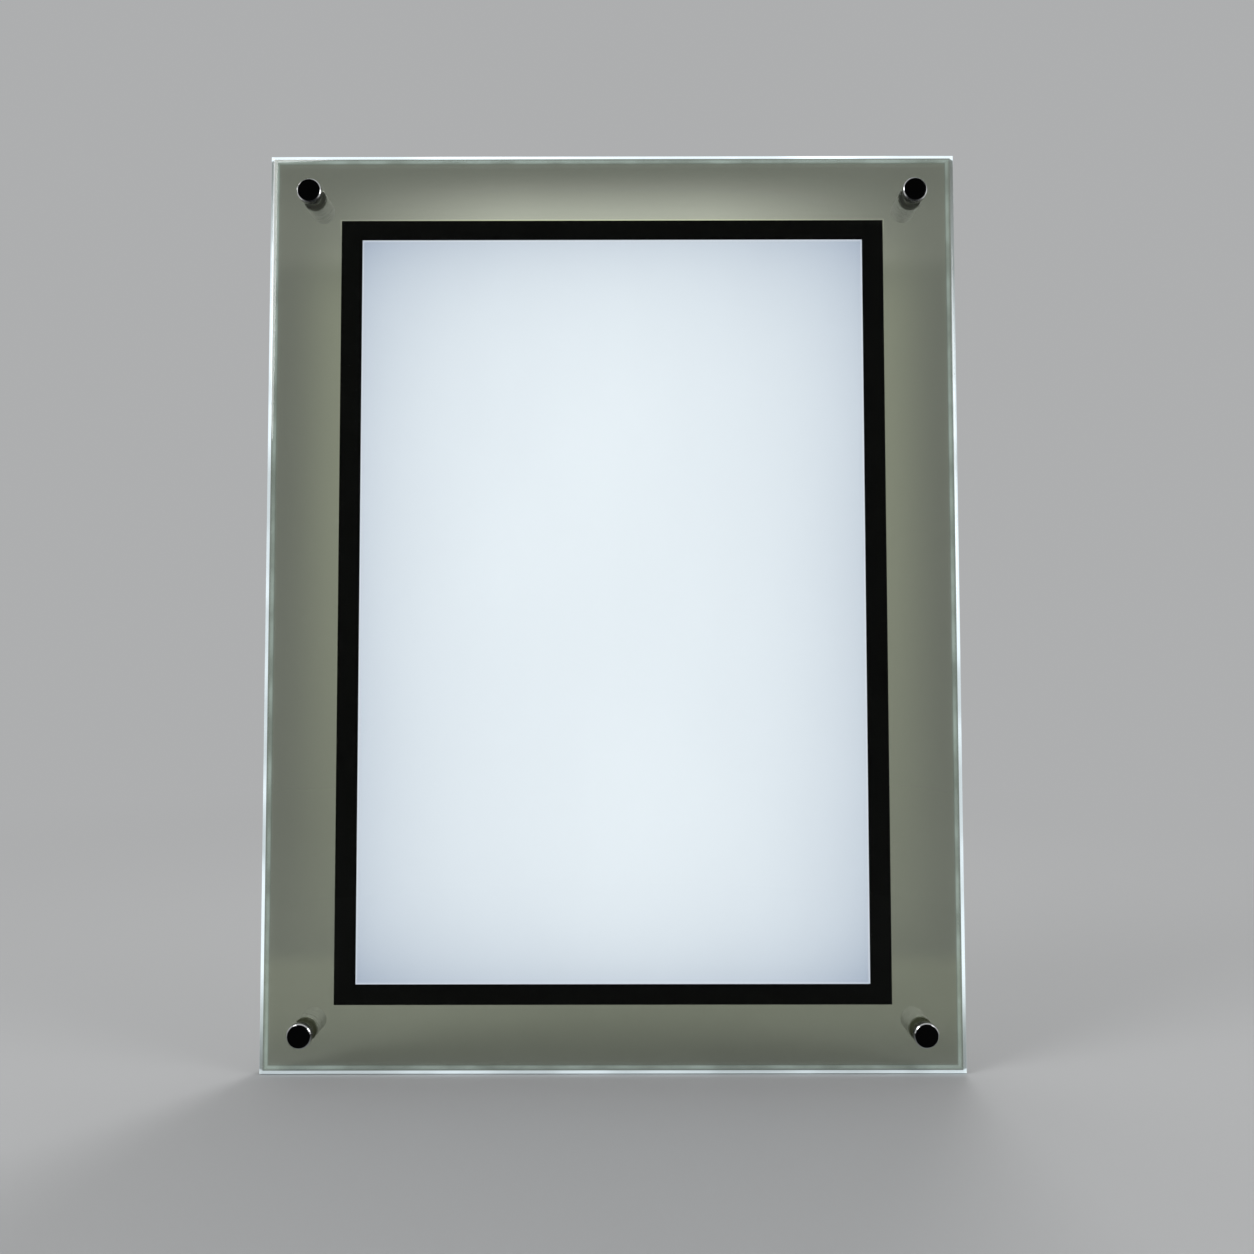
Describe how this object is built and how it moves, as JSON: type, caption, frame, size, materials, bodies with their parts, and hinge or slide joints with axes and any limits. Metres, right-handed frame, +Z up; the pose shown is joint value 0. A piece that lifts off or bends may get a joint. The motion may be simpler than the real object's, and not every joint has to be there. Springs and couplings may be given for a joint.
{
  "type": "edge-lit wall light box",
  "caption": "Clear acrylic wall light box with a bevelled front plate, black border, lit window, standoffs with unscrewing caps and a lift-off cover.",
  "frame": {"origin": "on the wall plane, behind the middle of the panel", "axes": "+X right and +Z up as seen from the front, +Y into the wall, so the front faces -Y"},
  "size_m": [0.538, 0.0466, 0.712],
  "materials": {
    "clear_acrylic": "clear polished acrylic with flame-bright bevelled edges",
    "guide_acrylic": "clear acrylic light guide with a printed dot pattern",
    "black_print": "black screen print seen through acrylic",
    "diffuser": "opal diffuser, lit from behind, a little brighter in the middle",
    "reflector": "white reflector film",
    "cover_paint": "off-white powder coat on aluminium sheet",
    "strip_board": "white solder resist with light packages",
    "rail_aluminium": "mill finish",
    "polished_steel": "mirror-polished stainless steel",
    "satin_steel": "satin turned stainless steel",
    "clear_vinyl": "soft clear vinyl washer",
    "inlet_plastic": "fine-textured black moulded plastic",
    "terminal_nylon": "moulded nylon",
    "wire_red": "smooth wire insulation",
    "wire_black": "smooth wire insulation"
  },
  "bodies": {
    "rear_unit": {"rear_plate": "clear_acrylic", "back_cover": "cover_paint", "cover_screw_1": "satin_steel", "cover_screw_2": "satin_steel", "cover_screw_3": "satin_steel", "cover_screw_4": "satin_steel", "cover_screw_5": "satin_steel", "cover_screw_6": "satin_steel", "cover_screw_7": "satin_steel", "cover_screw_8": "satin_steel", "cover_screw_9": "satin_steel", "cover_screw_10": "satin_steel", "cover_screw_11": "satin_steel", "cover_screw_12": "satin_steel", "reflector_sheet": "reflector", "light_guide": "guide_acrylic", "diffuser_sheet": "diffuser", "rail_top": "rail_aluminium", "rail_bottom": "rail_aluminium", "rail_left": "rail_aluminium", "rail_right": "rail_aluminium", "light_strip_top": "strip_board", "light_strip_bottom": "strip_board", "light_strip_left": "strip_board", "light_strip_right": "strip_board", "inlet_box": "inlet_plastic", "inlet_socket": "inlet_plastic", "socket_nut": "satin_steel", "terminal_block": "terminal_nylon", "inlet_wire_red": "wire_red", "inlet_wire_black": "wire_black", "strip_wire_red": "wire_red", "strip_wire_black": "wire_black", "box_screw_1": "satin_steel", "box_screw_2": "satin_steel", "barrel_top_left": "satin_steel", "barrel_top_right": "satin_steel", "barrel_bottom_right": "satin_steel", "barrel_bottom_left": "satin_steel", "rear_washer_top_left": "clear_vinyl", "rear_washer_top_right": "clear_vinyl", "rear_washer_bottom_right": "clear_vinyl", "rear_washer_bottom_left": "clear_vinyl"},
    "front_cover": {"front_plate": "clear_acrylic", "border_print": "black_print"},
    "cap_carrier_top_left": {"cap_washer_top_left": "clear_vinyl"},
    "cap_screw_top_left": {"cap_top_left": "polished_steel", "stud_top_left": "satin_steel"},
    "cap_carrier_top_right": {"cap_washer_top_right": "clear_vinyl"},
    "cap_screw_top_right": {"cap_top_right": "polished_steel", "stud_top_right": "satin_steel"},
    "cap_carrier_bottom_right": {"cap_washer_bottom_right": "clear_vinyl"},
    "cap_screw_bottom_right": {"cap_bottom_right": "polished_steel", "stud_bottom_right": "satin_steel"},
    "cap_carrier_bottom_left": {"cap_washer_bottom_left": "clear_vinyl"},
    "cap_screw_bottom_left": {"cap_bottom_left": "polished_steel", "stud_bottom_left": "satin_steel"}
  },
  "joints": [
    {"name": "cover_slide", "type": "slide", "parent": "rear_unit", "child": "front_cover", "axis": [0, -1, 0], "range_m": [0, 0.08]},
    {"name": "cap_out_top_left", "type": "slide", "parent": "front_cover", "child": "cap_carrier_top_left", "axis": [0, -1, 0], "range_m": [0, 0.01]},
    {"name": "cap_turn_top_left", "type": "hinge", "parent": "cap_carrier_top_left", "child": "cap_screw_top_left", "pos_m": [-0.2365, -0.0411, 0.325], "axis": [0, -1, 0], "range_deg": [0, 2880]},
    {"name": "cap_out_top_right", "type": "slide", "parent": "front_cover", "child": "cap_carrier_top_right", "axis": [0, -1, 0], "range_m": [0, 0.01]},
    {"name": "cap_turn_top_right", "type": "hinge", "parent": "cap_carrier_top_right", "child": "cap_screw_top_right", "pos_m": [0.2365, -0.0411, 0.325], "axis": [0, -1, 0], "range_deg": [0, 2880]},
    {"name": "cap_out_bottom_right", "type": "slide", "parent": "front_cover", "child": "cap_carrier_bottom_right", "axis": [0, -1, 0], "range_m": [0, 0.01]},
    {"name": "cap_turn_bottom_right", "type": "hinge", "parent": "cap_carrier_bottom_right", "child": "cap_screw_bottom_right", "pos_m": [0.2365, -0.0411, -0.325], "axis": [0, -1, 0], "range_deg": [0, 2880]},
    {"name": "cap_out_bottom_left", "type": "slide", "parent": "front_cover", "child": "cap_carrier_bottom_left", "axis": [0, -1, 0], "range_m": [0, 0.01]},
    {"name": "cap_turn_bottom_left", "type": "hinge", "parent": "cap_carrier_bottom_left", "child": "cap_screw_bottom_left", "pos_m": [-0.2365, -0.0411, -0.325], "axis": [0, -1, 0], "range_deg": [0, 2880]}
  ],
  "couplings": [
    {"joint": "cap_turn_top_left", "follows": "cap_out_top_left", "rad_per_m": 5026.5},
    {"joint": "cap_turn_top_right", "follows": "cap_out_top_right", "rad_per_m": 5026.5},
    {"joint": "cap_turn_bottom_right", "follows": "cap_out_bottom_right", "rad_per_m": 5026.5},
    {"joint": "cap_turn_bottom_left", "follows": "cap_out_bottom_left", "rad_per_m": 5026.5}
  ]
}
